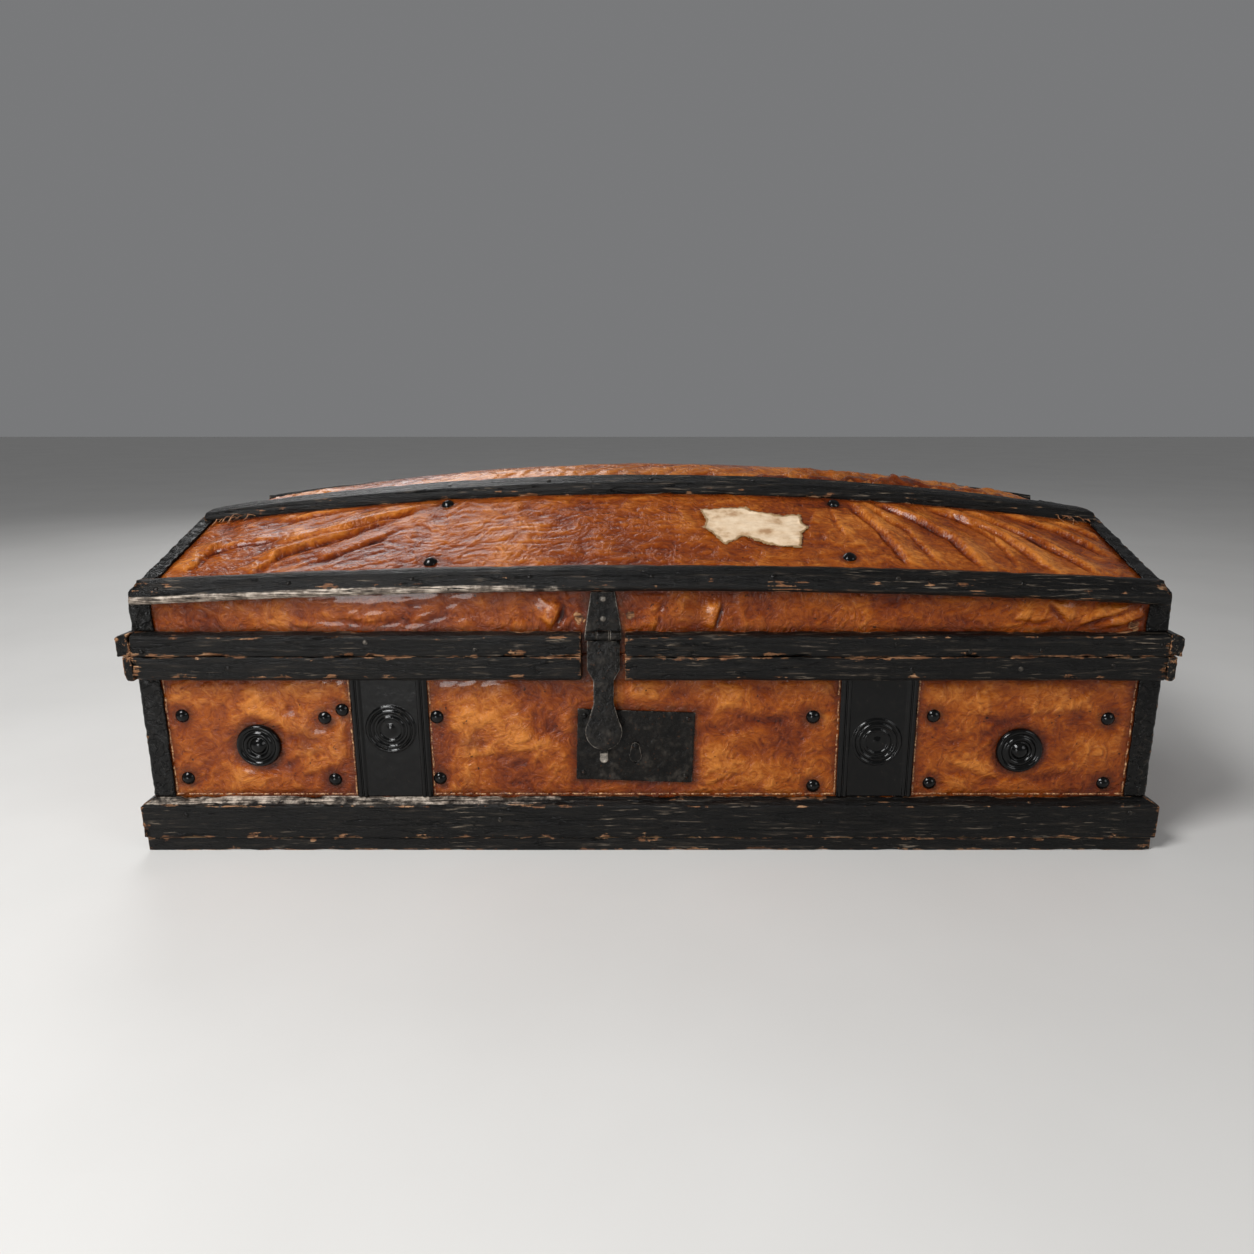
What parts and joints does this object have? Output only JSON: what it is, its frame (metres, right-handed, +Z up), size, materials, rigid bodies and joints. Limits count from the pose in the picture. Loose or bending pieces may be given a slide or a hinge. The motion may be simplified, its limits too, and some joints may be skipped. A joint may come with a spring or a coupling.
{
  "type": "travel trunk",
  "caption": "Long low travel trunk with a bowed lid: brown hide over boards, black wooden rails, slats and plinth, iron hasp, lock, hinges and drop handles.",
  "frame": {"origin": "on the floor under the middle of the trunk", "axes": "+X along the length to the right, +Y to the back, +Z up"},
  "size_m": [1, 0.5139, 0.3618],
  "materials": {
    "bare_board": "aged bare softwood",
    "brown_hide": "glossy wrinkled hide",
    "black_wood": "worn black paint",
    "black_binding": "blacked leather strip",
    "black_japan": "glossy black lacquer on iron",
    "dark_iron": "dark forged iron"
  },
  "bodies": {
    "case": {"bottom_boards": "bare_board", "front_board": "bare_board", "back_board": "bare_board", "left_end_board": "bare_board", "right_end_board": "bare_board", "front_hide": "brown_hide", "back_hide": "brown_hide", "end_hides": "brown_hide", "front_plinth": "black_wood", "back_plinth": "black_wood", "end_plinths": "black_wood", "front_body_rail": "black_wood", "back_body_rail": "black_wood", "end_body_rails": "black_wood", "corner_strips": "black_binding", "front_bands": "black_japan", "bosses": "black_japan", "dome_nails": "black_japan", "lock_plate": "dark_iron", "lock_plate_nails": "dark_iron", "lock_case": "dark_iron", "cover_rivet": "dark_iron", "hinge_body_leaves": "dark_iron", "hinge_body_nails": "dark_iron", "hinge_pins": "dark_iron", "handle_plates": "dark_iron", "handle_nails": "dark_iron"},
    "lid": {"lid_front_wall": "bare_board", "lid_back_wall": "bare_board", "lid_left_end": "bare_board", "lid_right_end": "bare_board", "lid_front_slope_board": "bare_board", "lid_top_board": "bare_board", "lid_back_slope_board": "bare_board", "lid_wall_hides": "brown_hide", "lid_end_hides": "brown_hide", "lid_front_slope_hide": "brown_hide", "lid_top_hide": "brown_hide", "lid_back_slope_hide": "brown_hide", "lower_front_slat": "black_wood", "upper_front_slat": "black_wood", "upper_back_slat": "black_wood", "lower_back_slat": "black_wood", "front_lid_rail": "black_wood", "back_lid_rail": "black_wood", "end_lid_rails": "black_wood", "lid_end_bindings": "black_binding", "lid_corner_strips": "black_binding", "lid_button_nails": "black_japan", "hinge_lid_leaves": "dark_iron", "hinge_lid_nails": "dark_iron", "hasp_leaf": "dark_iron", "hasp_pin": "dark_iron", "hasp_rivets": "dark_iron"},
    "hasp": {"hasp_arm": "dark_iron", "hasp_staple": "dark_iron"},
    "bolt": {"lock_bolt": "dark_iron"},
    "cover": {"keyhole_cover": "dark_iron"},
    "left_bail": {"left_handle_bail": "dark_iron"},
    "right_bail": {"right_handle_bail": "dark_iron"}
  },
  "joints": [
    {"name": "lid_hinge", "type": "hinge", "parent": "case", "child": "lid", "pos_m": [0, 0.255, 0.1996], "axis": [-1, 0, 0], "range_deg": [0, 105]},
    {"name": "hasp_swing", "type": "hinge", "parent": "lid", "child": "hasp", "pos_m": [-0.04414, -0.2418, 0.21805], "axis": [-1, 0, 0], "range_deg": [-5.6, 150]},
    {"name": "bolt_slide", "type": "slide", "parent": "case", "child": "bolt", "axis": [-1, 0, 0], "range_m": [0, 0.009]},
    {"name": "cover_swing", "type": "hinge", "parent": "case", "child": "cover", "pos_m": [-0.01413, -0.24, 0.10705], "axis": [0, -1, 0], "range_deg": [0, 110]},
    {"name": "left_handle_swing", "type": "hinge", "parent": "case", "child": "left_bail", "pos_m": [-0.4945, 0, 0.13442], "axis": [0, 1, 0], "range_deg": [0, 100]},
    {"name": "right_handle_swing", "type": "hinge", "parent": "case", "child": "right_bail", "pos_m": [0.4945, 0, 0.13442], "axis": [0, -1, 0], "range_deg": [0, 100]}
  ]
}
